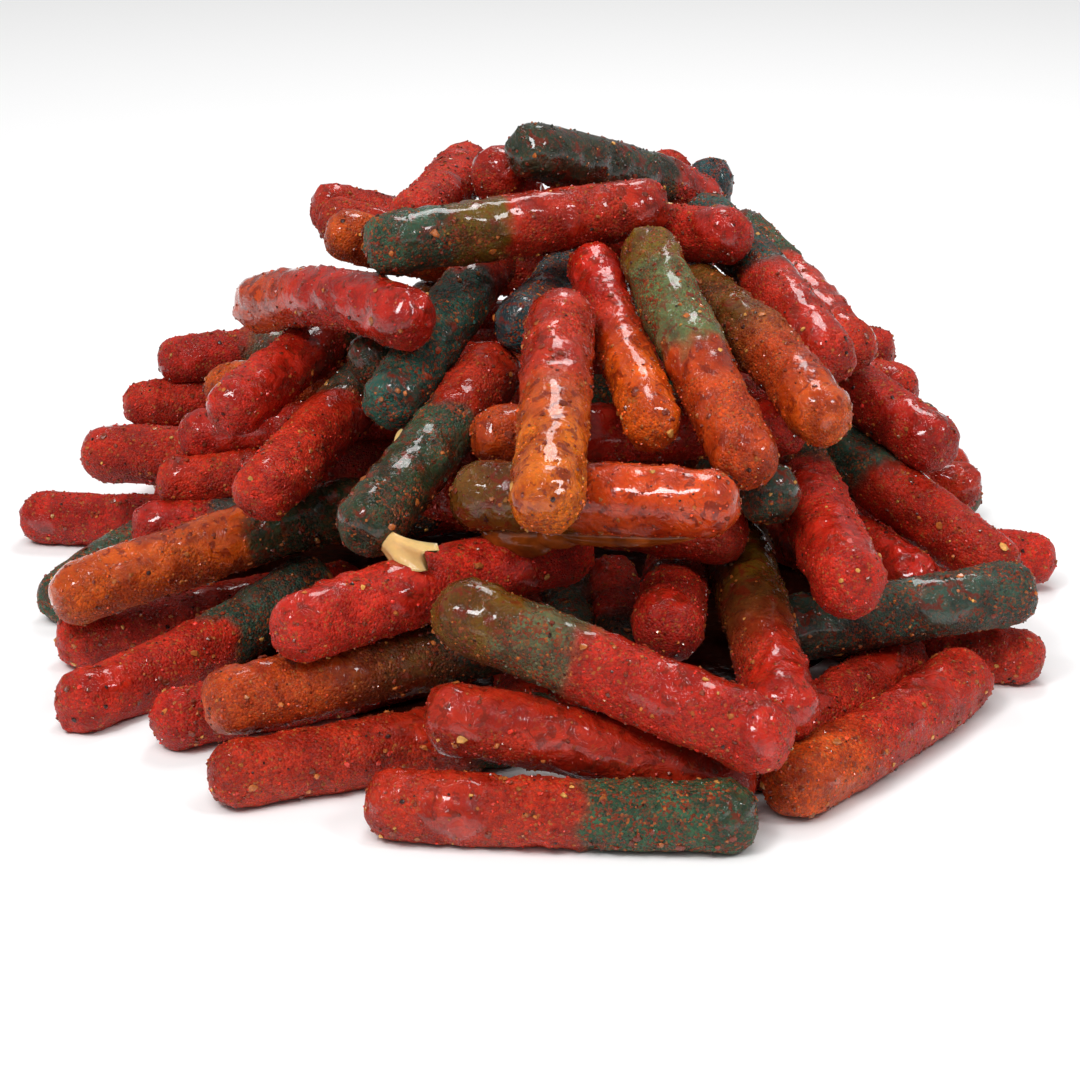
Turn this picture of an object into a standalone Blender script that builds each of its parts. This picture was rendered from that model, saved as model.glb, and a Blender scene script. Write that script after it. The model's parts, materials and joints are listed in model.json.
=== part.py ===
"""A heap of coated gummy worms: round-ended, two-tone sweets, each one a solid of its own.

The worms lie as they were tipped onto a table, and a few of them have stuck together side by side.
Every worm is placed by the centres of its two round ends, in whole millimetres, as it was laid by
hand. settle() then gives each worm its full length and pushes neighbours apart until they just
don't touch, so the heap fits together without any worm passing through another.
+X runs along the heap's width, -Y is its front and +Z is up. The heap stands on z = 0.
"""

import math

import bmesh
import bpy
import numpy as np

MM = 0.001

# One worm, tip to tip and across its coat, and the clearance that neighbours keep. Millimetres.
WORM_LENGTH = 50.0
WORM_DIAMETER = 9.0
CLEARANCE = 0.3
# Worms stuck side by side sink this much into each other, as a share of their diameter.
STUCK_SHARE = 0.12

# The faceting of each solid.
SIDES = 8
CAP_RINGS = 2
BODY_RINGS = 3
# A worm on the table rests on one flat side of its octagon.
FLAT_SHARE = math.cos(math.pi / SIDES)

# Settling: rounds with and without the pull back to where each worm was laid.
LOOSE_ROUNDS = 220
FIRM_ROUNDS = 260
PULL = 0.03
STIFFNESS = 0.35
MOST_BOW = 3.5
SAMPLES = 5

# Worms that lie alone: name, one end, other end, girth, length, bow at the middle.
WORMS = (
    # The front edge, on the table or just above it.
    ("front_log", (-18, -80, 4), (23, -83, 4), 1.00, 1.00, (0, -1, 0)),
    ("front_gloss_red", (-8, -74, 14), (22, -73, 6), 1.00, 0.88, (0, 0, 1)),
    ("front_olive_tip", (-9, -66, 23), (26, -80, 13), 1.06, 1.00, (0, 0, 0)),
    ("front_right_log", (34, -73, 4), (59, -43, 4), 1.03, 1.00, (1, -1, 0)),
    ("front_under_red", (28, -65, 4), (51, -34, 4), 0.95, 0.95, (0, 0, 0)),
    ("front_left_log", (-39, -71, 4), (-1, -56, 4), 1.02, 1.00, (0, 0, 0)),
    ("front_left_orange", (-40, -65, 12), (-2, -50, 15), 0.98, 1.00, (0, 0, 0)),
    ("left_under_red", (-48, -53, 4), (-14, -35, 4), 0.95, 1.00, (0, 0, 0)),
    ("left_two_tone", (-62, -46, 4), (-37, -21, 10), 1.02, 0.98, (0, 0, 0)),
    ("middle_long_red", (-30, -63, 22), (2, -43, 25), 1.04, 0.98, (0, 0, 1)),
    ("left_orange_dark", (-65, -28, 13), (-32, -15, 20), 1.02, 1.00, (0, 0, 1)),
    ("left_low_red", (-67, -25, 4), (-33, -6, 4), 0.98, 1.00, (0, 0, 0)),
    ("far_left_bent", (-73, -7, 4), (-49, 17, 13), 0.92, 0.95, (-2, 3, 0)),
    ("far_left_red", (-83, 27, 4), (-47, 16, 4), 1.00, 0.98, (0, 0, 0)),
    ("left_shelf", (-69, 16, 18), (-32, 8, 20), 1.02, 1.00, (0, 0, 0)),
    # The left slope.
    ("left_slope_red", (-38, -28, 30), (-26, -1, 39), 1.02, 0.92, (0, 0, 0)),
    ("valley_green", (-22, -49, 32), (-7, -19, 44), 1.00, 0.92, (0, 0, 0)),
    ("valley_teal", (-19, -24, 42), (-9, 4, 53), 0.98, 0.90, (1, 0, 2)),
    ("valley_brown", (-25, -8, 40), (-18, 18, 46), 0.90, 0.90, (0, 0, 0)),
    ("left_upper_red", (-44, -13, 38), (-24, 14, 41), 0.98, 0.95, (0, 0, 0)),
    ("left_glossy_bend", (-40, 3, 46), (-21, -21, 53), 0.98, 0.95, (0, 0, 3)),
    # The middle of the front slope.
    ("belt_red", (-13, -29, 28), (26, -38, 26), 0.98, 1.00, (0, 0, 0)),
    ("belt_glazed", (-6, -48, 34), (20, -57, 37), 1.10, 0.80, (0, 0, 0)),
    ("glazed_drop", (1, -66, 40), (3, -27, 53), 1.05, 1.00, (0, 0, 0)),
    ("facing_red", (17, -59, 20), (22, -20, 14), 1.08, 0.98, (0, 0, 0)),
    ("lean_olive", (32, -66, 13), (29, -30, 20), 1.05, 1.00, (0, 0, 0)),
    ("facing_green", (29, -44, 31), (31, -6, 24), 0.90, 0.92, (0, 0, 0)),
    ("slope_thin_amber", (8, -9, 56), (15, -41, 42), 0.84, 0.88, (0, 0, 0)),
    ("slope_olive_amber", (17, -15, 58), (27, -45, 41), 1.00, 1.00, (-1, 0, 1)),
    ("slope_brown_amber", (26, -5, 53), (37, -35, 43), 0.97, 0.96, (1, 0, 2)),
    ("slope_crossing_red", (-7, -33, 39), (33, -30, 36), 0.90, 0.96, (0, 0, 0)),
    ("gap_teal", (-3, -14, 48), (4, 18, 50), 0.95, 0.90, (0, 0, 0)),
    # The right slope.
    ("right_front_red", (40, -51, 25), (33, -20, 28), 1.10, 0.95, (0, 0, 0)),
    ("right_two_tone", (43, 1, 31), (65, -26, 17), 1.00, 0.98, (0, 0, 0)),
    ("right_green_log", (36, -41, 11), (65, -35, 13), 1.02, 0.78, (0, 0, 0)),
    ("far_right_red", (44, 14, 5), (77, 6, 5), 0.95, 0.95, (0, 0, 0)),
    ("right_low_red", (36, -22, 4), (67, -33, 4), 0.90, 0.92, (0, 0, 0)),
    ("right_slope_red", (38, 15, 40), (56, -12, 29), 1.00, 0.92, (0, 0, 0)),
    # The crown.
    ("crown_long", (-20, -15, 61), (15, 2, 62), 0.98, 0.98, (0, 0, 0)),
    ("crown_right_red", (3, 27, 54), (27, -2, 60), 0.98, 0.95, (0, 0, 0)),
    ("crown_green", (1, 5, 68), (21, 33, 58), 0.95, 0.95, (0, 0, 1)),
    ("crown_facing_red", (-6, 12, 66), (-4, 47, 56), 1.02, 0.95, (0, 0, 0)),
    ("crown_left_red", (-19, 11, 59), (-14, 44, 57), 0.95, 0.90, (0, 0, 0)),
    ("crest_teal_red", (28, 12, 57), (40, -15, 47), 0.96, 0.95, (1, 0, 1)),
    ("crest_green_red", (35, 26, 52), (46, -2, 44), 0.90, 0.90, (0, 0, 0)),
)

# Worms stuck side by side: name, end, other end, girth, how far the row leans up from lying flat
# in degrees, how many worms, and how far each one is shifted along the one before it.
ROWS = (
    ("hollow_row", (5, -45, 4), (4, -5, 4), 0.95, 0, 3, -2),
    ("right_shelf_row", (50, -28, 15), (36, 8, 15), 0.98, 0, 2, 2),
    ("left_shelf_row", (-52, 7, 21), (-15, 12, 25), 0.95, 50, 4, 4),
    ("back_left_row", (-67, 42, 19), (-29, 48, 22), 0.95, 70, 3, 7),
    ("right_edge_row", (67, 20, 14), (30, 32, 14), 0.95, 0, 2, -3),
    ("upper_right_row", (57, 22, 29), (21, 37, 31), 0.92, -30, 3, -6),
    ("crown_left_row", (-31, 25, 54), (6, 33, 46), 0.92, 20, 3, 0),
    ("back_low_left_row", (-64, 49, 4), (-32, 70, 4), 0.98, 0, 3, 3),
    ("back_low_middle_row", (-18, 72, 4), (23, 73, 4), 0.98, 0, 3, -3),
    ("back_low_right_row", (38, 68, 4), (64, 38, 4), 0.98, 0, 3, 4),
    ("back_slope_left_row", (-44, 52, 22), (-6, 64, 22), 0.98, -45, 3, 3),
    ("back_slope_right_row", (8, 64, 22), (46, 50, 22), 0.98, -45, 3, -4),
    ("back_crest_row", (18, 38, 59), (15, 66, 34), 0.95, 8, 4, -1),
    ("core_low_row", (-28, 28, 13), (12, 30, 13), 0.98, 0, 5, 2),
    ("core_high_row", (-22, 22, 32), (16, 28, 32), 0.98, 0, 4, -3),
)

# Each flavour's main colour, roughness and the worms that show it most.
FLAVOURS = {
    "red_gummy": ((0.42, 0.035, 0.028), 0.45),
    "orange_gummy": ((0.62, 0.17, 0.035), 0.35),
    "green_gummy": ((0.045, 0.085, 0.06), 0.40),
    "olive_gummy": ((0.16, 0.12, 0.03), 0.30),
    "teal_gummy": ((0.03, 0.10, 0.11), 0.40),
}
GREENS = ("far_left_bent", "facing_green", "right_green_log", "crown_green", "valley_green")
TEALS = ("valley_teal", "gap_teal", "crest_teal_red")
OLIVES = ("front_olive_tip", "lean_olive", "slope_olive_amber", "valley_brown")
ORANGES = ("front_right_log", "front_left_orange", "left_orange_dark", "belt_glazed", "slope_thin_amber")


def unit(vector):
    return vector / np.linalg.norm(vector)


def across_direction(along, lean):
    """The sideways direction of a row that runs along `along`, leaning up by `lean` degrees."""
    side = unit(np.cross((0.0, 0.0, 1.0), along))
    up = np.cross(along, side)
    return side * math.cos(math.radians(lean)) + up * math.sin(math.radians(lean))


class Heap:
    """The worms as curved rods: both ends and the middle of each one, with its radius."""

    def __init__(self):
        self.points = []
        self.radius = []
        self.length = []
        self.bow = []
        self.owner = []
        self.names = []
        self.rows = []
        for name, start, end, girth, length, bow in WORMS:
            self.names.append(name)
            start, end, bow = (np.array(place, float) for place in (start, end, bow))
            self.add(start, end, girth, length, bow)
        for name, start, end, girth, lean, count, shift in ROWS:
            self.names.append(name)
            self.add_row(np.array(start, float), np.array(end, float), girth, lean, count, shift)
        self.points = np.array(self.points)
        self.radius = np.array(self.radius)
        self.bow = np.array(self.bow)
        self.owner = np.array(self.owner)
        self.length = np.array(self.length)
        self.chord = self.length - 2 * self.radius
        self.laid = self.points.copy()

    def add(self, start, end, girth, length, bow):
        """One worm, drawn out to its own length about its middle."""
        middle = (start + end) / 2
        radius = WORM_DIAMETER / 2 * girth
        half = unit(end - start) * (WORM_LENGTH * length / 2 - radius)
        self.points.append((middle - half, middle + bow, middle + half))
        self.radius.append(radius)
        self.length.append(WORM_LENGTH * length)
        self.bow.append(bow)
        self.owner.append(len(self.names) - 1)

    def add_row(self, start, end, girth, lean, count, shift):
        along = unit(end - start)
        across = across_direction(along, lean)
        pitch = WORM_DIAMETER * girth * (1 - STUCK_SHARE)
        members = []
        offsets = []
        for index in range(count):
            place = index - (count - 1) / 2
            offset = place * (pitch * across + shift * along)
            members.append(len(self.points))
            offsets.append((place * pitch, place * shift))
            self.add(start + offset, end + offset, girth, 1.0, np.zeros(3))
        self.rows.append((members, np.array(offsets)))

    def samples(self):
        """Points along every worm, and how much of each of its three control points is in them."""
        t = np.linspace(0, 1, SAMPLES)
        share = np.stack([(1 - t) * (1 - 2 * t), 4 * t * (1 - t), t * (2 * t - 1)], axis=1)
        return np.einsum("sk,nkd->nsd", share, self.points), share

    def near_pairs(self):
        """Every pair of pieces of different nodes that is close enough to meet."""
        spots, _ = self.samples()
        first, second = np.triu_indices(len(self.radius), 1)
        reach = WORM_LENGTH + WORM_DIAMETER
        apart = np.linalg.norm(spots[first, SAMPLES // 2] - spots[second, SAMPLES // 2], axis=1)
        keep = (self.owner[first] != self.owner[second]) & (apart < reach)
        first, second = first[keep], second[keep]
        piece = np.arange(SAMPLES - 1)
        a, b = np.meshgrid(piece, piece, indexing="ij")
        count = a.size
        return (
            np.repeat(first, count),
            np.repeat(second, count),
            np.tile(a.ravel(), len(first)),
            np.tile(b.ravel(), len(first)),
        )

    def push_apart(self, pairs, share_of_overlap):
        """Moves worms that are too close away from each other. Returns the deepest overlap."""
        first, second, a, b = pairs
        spots, share = self.samples()
        start_a, run_a = spots[first, a], spots[first, a + 1] - spots[first, a]
        start_b, run_b = spots[second, b], spots[second, b + 1] - spots[second, b]
        s, t = closest(start_a, run_a, start_b, run_b)
        between = start_a + s[:, None] * run_a - start_b - t[:, None] * run_b
        distance = np.linalg.norm(between, axis=1)
        overlap = self.radius[first] + self.radius[second] + CLEARANCE - distance
        hit = overlap > 0
        if not hit.any():
            return 0.0
        push = between[hit] / np.maximum(distance[hit], 1e-6)[:, None]
        push *= (overlap[hit] * share_of_overlap)[:, None]
        moved = np.zeros_like(self.points)
        weight = np.zeros(self.points.shape[:2])
        for worm, piece, spot, sign in ((first, a, s, 1), (second, b, t, -1)):
            worm, piece, spot = worm[hit], piece[hit], spot[hit]
            part = share[piece] * (1 - spot)[:, None] + share[piece + 1] * spot[:, None]
            part = np.maximum(part, 0)
            np.add.at(moved, worm, sign * part[:, :, None] * push[:, None, :])
            np.add.at(weight, worm, part)
        self.points += moved / np.maximum(weight, 1.0)[:, :, None]
        return float(overlap.max())

    def keep_shape(self):
        """Each worm keeps its length, bends only a little and stays above the table."""
        start, middle, end = self.points[:, 0], self.points[:, 1], self.points[:, 2]
        centre = (start + end) / 2
        along = end - start
        along *= (self.chord / np.linalg.norm(along, axis=1))[:, None]
        bend = middle - centre
        straighter = bend * (1 - STIFFNESS) + self.bow * STIFFNESS
        size = np.linalg.norm(straighter, axis=1)
        straighter *= np.minimum(1, MOST_BOW / np.maximum(size, 1e-6))[:, None]
        centre = centre + (bend - straighter) / 3
        bend = straighter
        self.points = np.stack([centre - along / 2, centre + bend, centre + along / 2], axis=1)
        for members, offsets in self.rows:
            self.straighten(members, offsets)
        floor = (self.radius * FLAT_SHARE)[:, None]
        self.points[:, :, 2] = np.maximum(self.points[:, :, 2], floor)
        for members, offsets in self.rows:
            self.straighten(members, offsets)

    def straighten(self, members, offsets):
        """Worms stuck in a row stay parallel and at their distance from each other."""
        points = self.points[members]
        middle = points[:, ::2].mean(axis=(0, 1))
        along = unit((points[:, 2] - points[:, 0]).mean(axis=0))
        centres = (points[:, 0] + points[:, 2]) / 2 - middle
        across = (offsets[:, :1] * centres).sum(axis=0)
        across = unit(across - along * (across @ along))
        centres = middle + offsets[:, :1] * across + offsets[:, 1:] * along
        half = along * self.chord[members][0] / 2
        self.points[members] = np.stack([centres - half, centres, centres + half], axis=1)

    def settle(self):
        for _ in range(3):
            self.keep_shape()
        for round_number in range(LOOSE_ROUNDS + FIRM_ROUNDS):
            if round_number % 20 == 0:
                pairs = self.near_pairs()
            if round_number < LOOSE_ROUNDS:
                self.points += PULL * (self.laid - self.points)
            self.push_apart(pairs, 0.5)
            self.keep_shape()

    def centring(self):
        """The move that puts the middle of the heap's footprint on the origin."""
        reach = self.radius[:, None, None]
        low = (self.points - reach).min(axis=(0, 1))
        high = (self.points + reach).max(axis=(0, 1))
        return np.array((-(low[0] + high[0]) / 2, -(low[1] + high[1]) / 2, 0.0))


def closest(start_a, run_a, start_b, run_b):
    """How far along each of two straight pieces their nearest points are, from 0 to 1."""
    between = start_a - start_b
    aa = (run_a * run_a).sum(axis=1)
    bb = (run_b * run_b).sum(axis=1)
    ab = (run_a * run_b).sum(axis=1)
    ar = (run_a * between).sum(axis=1)
    br = (run_b * between).sum(axis=1)
    flat = aa * bb - ab * ab
    s = np.clip(np.where(flat > 1e-9, (ab * br - ar * bb) / np.maximum(flat, 1e-9), 0.5), 0, 1)
    t = np.clip((ab * s + br) / bb, 0, 1)
    s = np.clip((ab * t - ar) / aa, 0, 1)
    return s, t


def worm_mesh(points, radius):
    """A bmesh of one worm: octagonal rings along its curve, with a rounded cap at each end."""
    start, middle, end = points
    stations = []
    for ring in range(1, CAP_RINGS + 1):
        angle = math.pi / 2 * ring / (CAP_RINGS + 1)
        stations.append((0.0, -radius * math.cos(angle), radius * math.sin(angle)))
    for ring in range(BODY_RINGS):
        stations.append((ring / (BODY_RINGS - 1), 0.0, radius))
    for ring in range(CAP_RINGS, 0, -1):
        angle = math.pi / 2 * ring / (CAP_RINGS + 1)
        stations.append((1.0, radius * math.cos(angle), radius * math.sin(angle)))

    mesh = bmesh.new()
    rings = []
    for t, beyond, ring_radius in stations:
        centre = start * (1 - t) * (1 - 2 * t) + middle * 4 * t * (1 - t) + end * t * (2 * t - 1)
        along = unit(start * (4 * t - 3) + middle * (4 - 8 * t) + end * (4 * t - 1))
        side = unit(np.cross((0.0, 0.0, 1.0), along))
        up = np.cross(along, side)
        ring = []
        for step in range(SIDES):
            angle = 2 * math.pi * (step + 0.5) / SIDES
            place = centre + beyond * along
            place = place + ring_radius * (math.cos(angle) * side + math.sin(angle) * up)
            ring.append(mesh.verts.new(place))
        rings.append(ring)
    tip_first = mesh.verts.new(start - unit(4 * middle - 3 * start - end) * radius)
    tip_last = mesh.verts.new(end + unit(3 * end + start - 4 * middle) * radius)
    for ring, following in zip(rings, rings[1:]):
        for step in range(SIDES):
            after = (step + 1) % SIDES
            mesh.faces.new((ring[step], ring[after], following[after], following[step]))
    for step in range(SIDES):
        after = (step + 1) % SIDES
        mesh.faces.new((tip_first, rings[0][after], rings[0][step]))
        mesh.faces.new((tip_last, rings[-1][step], rings[-1][after]))
    bmesh.ops.recalc_face_normals(mesh, faces=mesh.faces)
    return mesh


def make_object(name, points, radius, shift):
    """A worm as an object at its own middle, in metres."""
    middle = (points[0] + points[2]) / 2
    solid = worm_mesh(points - middle, radius)
    for vertex in solid.verts:
        height = vertex.co.z + middle[2]
        if height < 0.08:
            vertex.co.z = -middle[2]
    bmesh.ops.scale(solid, vec=(MM, MM, MM), verts=solid.verts)
    mesh = bpy.data.meshes.new(name)
    solid.to_mesh(mesh)
    solid.free()
    mesh.shade_smooth()
    worm = bpy.data.objects.new(name, mesh)
    worm.location = (middle + shift) * MM
    bpy.context.scene.collection.objects.link(worm)
    return worm


def join_row(first, others):
    """Makes one solid of worms that have stuck together."""
    for other in others:
        union = first.modifiers.new("stuck_to_" + other.name, "BOOLEAN")
        union.operation = "UNION"
        union.object = other
        other.hide_render = True
        other.display_type = "WIRE"


def make_materials():
    materials = {}
    for name, (colour, roughness) in FLAVOURS.items():
        material = bpy.data.materials.new(name)
        material.use_nodes = True
        surface = material.node_tree.nodes["Principled BSDF"]
        surface.inputs["Base Color"].default_value = (*colour, 1.0)
        surface.inputs["Roughness"].default_value = roughness
        surface.inputs["Metallic"].default_value = 0.0
        materials[name] = material
    return materials


def flavour_of(name):
    for flavour, names in (
        ("green_gummy", GREENS),
        ("teal_gummy", TEALS),
        ("olive_gummy", OLIVES),
        ("orange_gummy", ORANGES),
    ):
        if name in names:
            return flavour
    return "red_gummy"


def main():
    for leftover in list(bpy.data.objects):
        bpy.data.objects.remove(leftover, do_unlink=True)

    heap = Heap()
    heap.settle()
    materials = make_materials()

    shift = heap.centring()
    for number, name in enumerate(heap.names):
        members = np.flatnonzero(heap.owner == number)
        solids = []
        for index, member in enumerate(members):
            label = name if index == 0 else f"{name}_{index + 1}"
            solids.append(make_object(label, heap.points[member], heap.radius[member], shift))
        join_row(solids[0], solids[1:])
        solids[0].data.materials.append(materials[flavour_of(name)])


main()
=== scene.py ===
"""The looks of a heap of coated gummy worms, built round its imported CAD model.

Each CAD solid gives the line, the girth and the length of one worm, or of a row of worms stuck
side by side. From these the script makes every worm again as soft, uneven candy: one to three
flavours along it, a coat of chilli and sugar grains, and syrup that glazes part of it.
"""

import json
import math

import bpy
import numpy as np
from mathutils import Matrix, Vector


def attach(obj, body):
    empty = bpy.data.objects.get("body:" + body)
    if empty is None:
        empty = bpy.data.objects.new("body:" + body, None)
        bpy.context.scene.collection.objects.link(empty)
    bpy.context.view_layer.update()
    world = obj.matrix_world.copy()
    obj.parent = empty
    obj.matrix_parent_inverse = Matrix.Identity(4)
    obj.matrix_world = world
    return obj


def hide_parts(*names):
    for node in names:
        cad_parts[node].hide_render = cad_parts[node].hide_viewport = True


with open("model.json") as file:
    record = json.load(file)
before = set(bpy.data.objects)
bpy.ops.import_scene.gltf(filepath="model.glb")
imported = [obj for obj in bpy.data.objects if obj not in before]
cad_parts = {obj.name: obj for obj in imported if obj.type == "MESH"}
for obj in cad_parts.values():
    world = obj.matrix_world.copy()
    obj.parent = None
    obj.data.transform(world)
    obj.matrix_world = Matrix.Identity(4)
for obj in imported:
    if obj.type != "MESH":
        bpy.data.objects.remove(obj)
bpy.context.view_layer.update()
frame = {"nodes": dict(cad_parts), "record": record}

MM = 0.001

# ---------------------------------------------------------------------------------------------
# Flavours and coat
# ---------------------------------------------------------------------------------------------

# The base colour of each flavour.
FLAVOURS = {
    "red": (0.42, 0.015, 0.006),
    "deep_red": (0.25, 0.008, 0.004),
    "orange": (0.48, 0.052, 0.005),
    "rust": (0.38, 0.030, 0.004),
    "amber": (0.56, 0.082, 0.004),
    "green": (0.031, 0.054, 0.037),
    "dark_green": (0.023, 0.032, 0.018),
    "grey_green": (0.095, 0.090, 0.042),
    "teal": (0.016, 0.054, 0.051),
    "olive": (0.115, 0.048, 0.004),
    "brown": (0.105, 0.033, 0.007),
}
# Between two of these the colour changes slowly, and anywhere else over a short ragged border.
WARM = ("red", "deep_red", "orange", "rust", "amber", "brown")
SLOW_BORDER = 0.30
SHORT_BORDER = 0.05

# What is sprinkled on the worms, the syrup that ran off them, and the dark sheet under the heap that paints
# its shadow.
CHILLI = (0.200, 0.028, 0.009)
SPICE_FLAKE = (0.40, 0.110, 0.022)
SEED = (0.62, 0.30, 0.07)
SUNK_CHILLI = (0.160, 0.012, 0.004)
DARK_SPECK = (0.040, 0.008, 0.005)
SYRUP = (0.42, 0.085, 0.010)
# The colour of the dark sheet under the heap: painted shadow.
PAINTED_SHADOW = (0.030, 0.006, 0.003)
CREAM = (0.80, 0.50, 0.19)

# Which end of a worm its colours are counted from.
FROM_LEFT = np.array((1.0, 0.0, 0.0))
FROM_BELOW = np.array((0.0, 0.0, 1.0))
FROM_FRONT = np.array((0.0, 1.0, 0.0))

# Each worm: the end to count from, its flavours with where each one ends along it, and how much
# of it syrup glazes, from 0 to 1.
LOOKS = {
    "front_log": (FROM_LEFT, ("red", 0.55, "green"), 0.10),
    "front_gloss_red": (FROM_LEFT, ("red", 1.0, "red"), 0.60),
    "front_olive_tip": (FROM_LEFT, ("olive", 0.22, "grey_green", 0.42, "red"), 0.26),
    "front_right_log": (FROM_LEFT, ("orange", 0.30, "red"), 0.15),
    "front_under_red": (FROM_LEFT, ("red", 1.0, "red"), 0.15),
    "front_left_log": (FROM_LEFT, ("red", 0.70, "dark_green"), 0.12),
    "front_left_orange": (FROM_LEFT, ("orange", 0.40, "brown", 0.64, "dark_green"), 0.30),
    "left_under_red": (FROM_LEFT, ("red", 1.0, "red"), 0.05),
    "left_two_tone": (FROM_LEFT, ("red", 0.58, "green"), 0.05),
    "middle_long_red": (FROM_LEFT, ("red", 1.0, "red"), 0.10),
    "left_orange_dark": (FROM_LEFT, ("orange", 0.58, "dark_green"), 0.60),
    "left_low_red": (FROM_LEFT, ("red", 1.0, "red"), 0.05),
    "far_left_bent": (FROM_LEFT, ("green", 0.50, "deep_red"), 0.15),
    "far_left_red": (FROM_LEFT, ("red", 1.0, "red"), 0.05),
    "left_shelf": (FROM_LEFT, ("red", 0.44, "green"), 0.10),
    "left_slope_red": (FROM_BELOW, ("red", 0.66, "dark_green"), 0.10),
    "valley_green": (FROM_BELOW, ("dark_green", 0.34, "green", 0.60, "red"), 0.35),
    "valley_teal": (FROM_BELOW, ("teal", 0.68, "red"), 0.15),
    "valley_brown": (FROM_BELOW, ("brown", 0.60, "dark_green"), 0.20),
    "left_upper_red": (FROM_LEFT, ("red", 0.58, "dark_green"), 0.25),
    "left_glossy_bend": (FROM_LEFT, ("orange", 0.34, "red"), 0.70),
    "belt_red": (FROM_LEFT, ("red", 1.0, "red"), 0.20),
    "belt_glazed": (FROM_LEFT, ("olive", 0.46, "orange"), 1.00),
    "glazed_drop": (FROM_BELOW, ("amber", 0.34, "orange", 0.50, "red"), 0.60),
    "facing_red": (FROM_FRONT, ("red", 1.0, "red"), 0.05),
    "lean_olive": (FROM_BELOW, ("red", 0.34, "brown", 0.56, "olive"), 0.45),
    "facing_green": (FROM_FRONT, ("green", 1.0, "green"), 0.15),
    "slope_thin_amber": (FROM_BELOW, ("amber", 0.38, "rust", 0.56, "red"), 0.50),
    "slope_olive_amber": (FROM_BELOW, ("rust", 0.46, "grey_green", 0.80, "olive"), 0.30),
    "slope_brown_amber": (FROM_BELOW, ("orange", 0.14, "rust", 0.46, "brown"), 0.30),
    "slope_crossing_red": (FROM_LEFT, ("orange", 0.20, "red"), 0.45),
    "gap_teal": (FROM_LEFT, ("teal", 1.0, "teal"), 0.10),
    "right_front_red": (FROM_BELOW, ("red", 0.74, "dark_green"), 0.10),
    "right_two_tone": (FROM_BELOW, ("red", 0.54, "green"), 0.15),
    "right_green_log": (FROM_LEFT, ("green", 1.0, "green"), 0.20),
    "far_right_red": (FROM_LEFT, ("red", 1.0, "red"), 0.05),
    "right_low_red": (FROM_LEFT, ("deep_red", 0.5, "red"), 0.05),
    "right_slope_red": (FROM_BELOW, ("red", 1.0, "red"), 0.10),
    "crown_long": (FROM_LEFT, ("green", 0.24, "olive", 0.43, "red"), 0.35),
    "crown_right_red": (FROM_FRONT, ("red", 1.0, "red"), 0.20),
    "crown_green": (FROM_LEFT, ("dark_green", 0.72, "red"), 0.90),
    "crown_facing_red": (FROM_FRONT, ("red", 1.0, "red"), 0.60),
    "crown_left_red": (FROM_LEFT, ("red", 1.0, "red"), 0.10),
    "crest_teal_red": (FROM_BELOW, ("red", 0.50, "teal"), 0.10),
    "crest_green_red": (FROM_BELOW, ("red", 0.60, "green"), 0.15),
}

# Each row of stuck worms: the flavours of its members, from the lowest and frontmost one on.
ROW_LOOKS = {
    "hollow_row": (("deep_red", 0.5, "red"), ("green", 0.6, "red"), ("red", 0.5, "dark_green")),
    "right_shelf_row": (("red", 0.7, "green"), ("red", 1.0, "red")),
    "left_shelf_row": (
        ("red", 0.25, "green"),
        ("red", 0.7, "deep_red"),
        ("red", 1.0, "red"),
        ("orange", 0.4, "red"),
    ),
    "back_left_row": (("red", 0.6, "green"), ("red", 0.25, "red"), ("red", 0.3, "grey_green")),
    "right_edge_row": (("orange", 0.6, "red"), ("green", 0.55, "red")),
    "upper_right_row": (("red", 0.6, "green"), ("orange", 0.3, "red"), ("red", 1.0, "red")),
    "crown_left_row": (("orange", 0.5, "red"), ("red", 0.8, "green"), ("red", 1.0, "red")),
    "back_low_left_row": (("red", 0.5, "green"), ("orange", 0.5, "red"), ("red", 1.0, "red")),
    "back_low_middle_row": (("green", 0.5, "red"), ("red", 1.0, "red"), ("red", 0.4, "teal")),
    "back_low_right_row": (("red", 1.0, "red"), ("orange", 0.6, "green"), ("red", 0.5, "green")),
    "back_slope_left_row": (("orange", 0.5, "red"), ("red", 0.6, "teal"), ("red", 1.0, "red")),
    "back_slope_right_row": (("red", 0.5, "green"), ("red", 1.0, "red"), ("amber", 0.6, "olive")),
    "back_crest_row": (
        ("red", 1.0, "red"),
        ("green", 0.5, "red"),
        ("red", 1.0, "red"),
        ("red", 0.5, "teal"),
    ),
    "core_low_row": (
        ("red", 0.5, "green"),
        ("red", 1.0, "red"),
        ("red", 0.5, "green"),
        ("red", 1.0, "red"),
        ("orange", 0.5, "red"),
    ),
    "core_high_row": (
        ("red", 0.5, "green"),
        ("orange", 0.5, "red"),
        ("red", 1.0, "red"),
        ("red", 0.6, "teal"),
    ),
}
ROW_WET = 0.15

# ---------------------------------------------------------------------------------------------
# Reading each worm's line from its CAD solid
# ---------------------------------------------------------------------------------------------

# Worms in a row sink this much into each other, as in the CAD model.
STUCK_SHARE = 0.12
# How much of a worm's middle gives its radius, on each side of its centre.
BODY_SHARE = 0.44
# A face whose normal lies this close to square with the row's line is part of a worm's side.
SIDE_LEAN = 0.15


def unit(vector):
    return vector / np.linalg.norm(vector)


def corners_of(node):
    """The corners of a CAD part, each one once."""
    mesh = frame["nodes"][node].data
    corners = np.empty(len(mesh.vertices) * 3, np.float32)
    mesh.vertices.foreach_get("co", corners)
    return np.unique(np.round(corners.reshape(-1, 3).astype(float), 6), axis=0)


def side_directions(node):
    """Each face's area times its normal."""
    mesh = frame["nodes"][node].data
    return np.array([tuple(face.normal * face.area) for face in mesh.polygons])


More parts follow.
